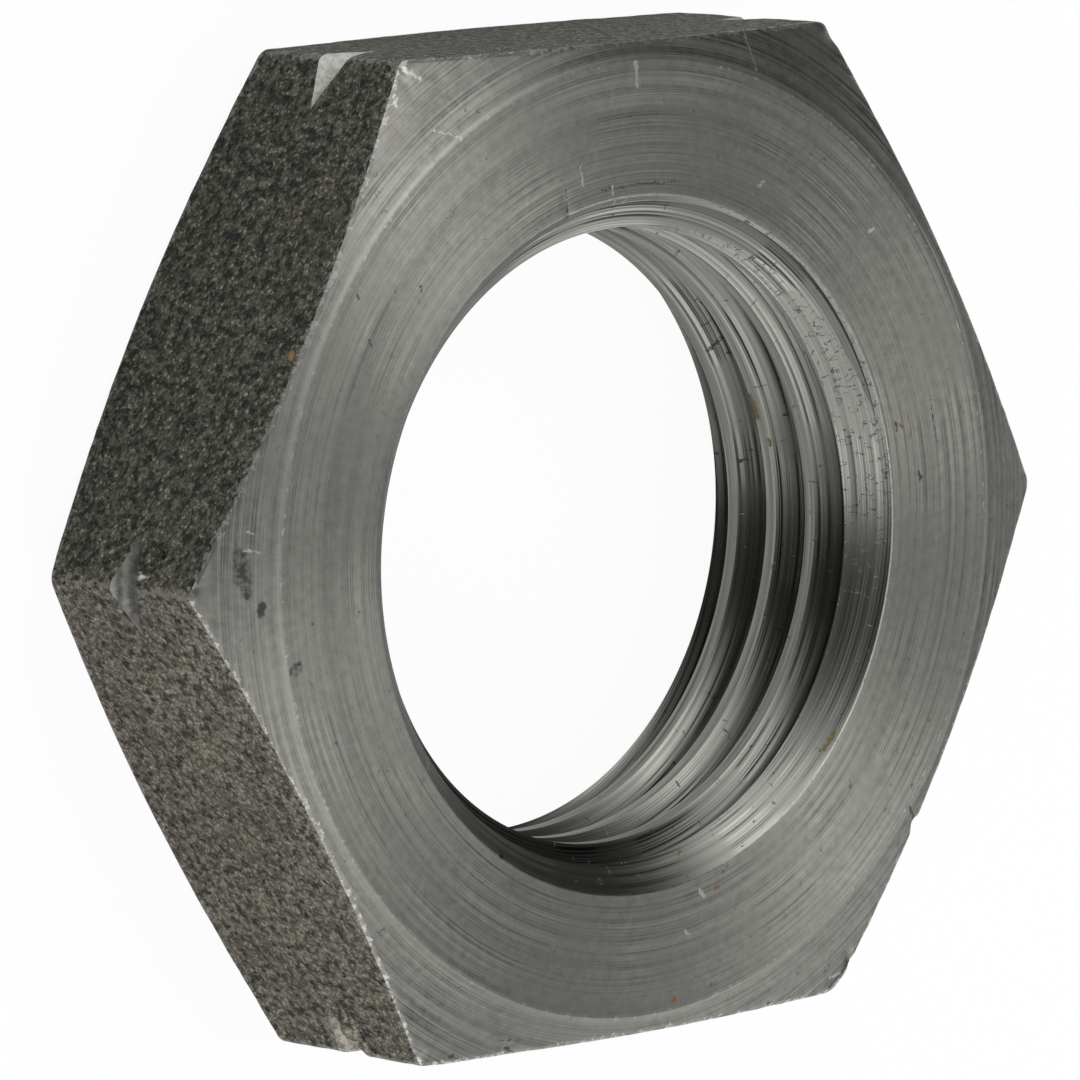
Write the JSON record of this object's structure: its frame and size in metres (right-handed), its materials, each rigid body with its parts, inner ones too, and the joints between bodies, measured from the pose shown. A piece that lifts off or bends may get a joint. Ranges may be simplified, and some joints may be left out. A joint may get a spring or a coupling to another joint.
{
  "type": "thin hex nut",
  "caption": "Large thin hex nut with a coarse left-hand metric thread, countersunk and chamfered on both faces, with the left-hand groove turned across its corners.",
  "frame": {"origin": "centre of the bottom turned face, on the thread's axis", "axes": "+Z along the thread's axis, up through the top turned face; X through two opposite corners of the hexagon; Y across two opposite flats"},
  "size_m": [0.1208, 0.105, 0.028],
  "materials": {
    "steel": "bright turned faces, chamfers, bore and mark groove, with scratches; dark grey rough rolled flats"
  },
  "bodies": {
    "root": {"hex_nut": "steel"}
  },
  "joints": []
}
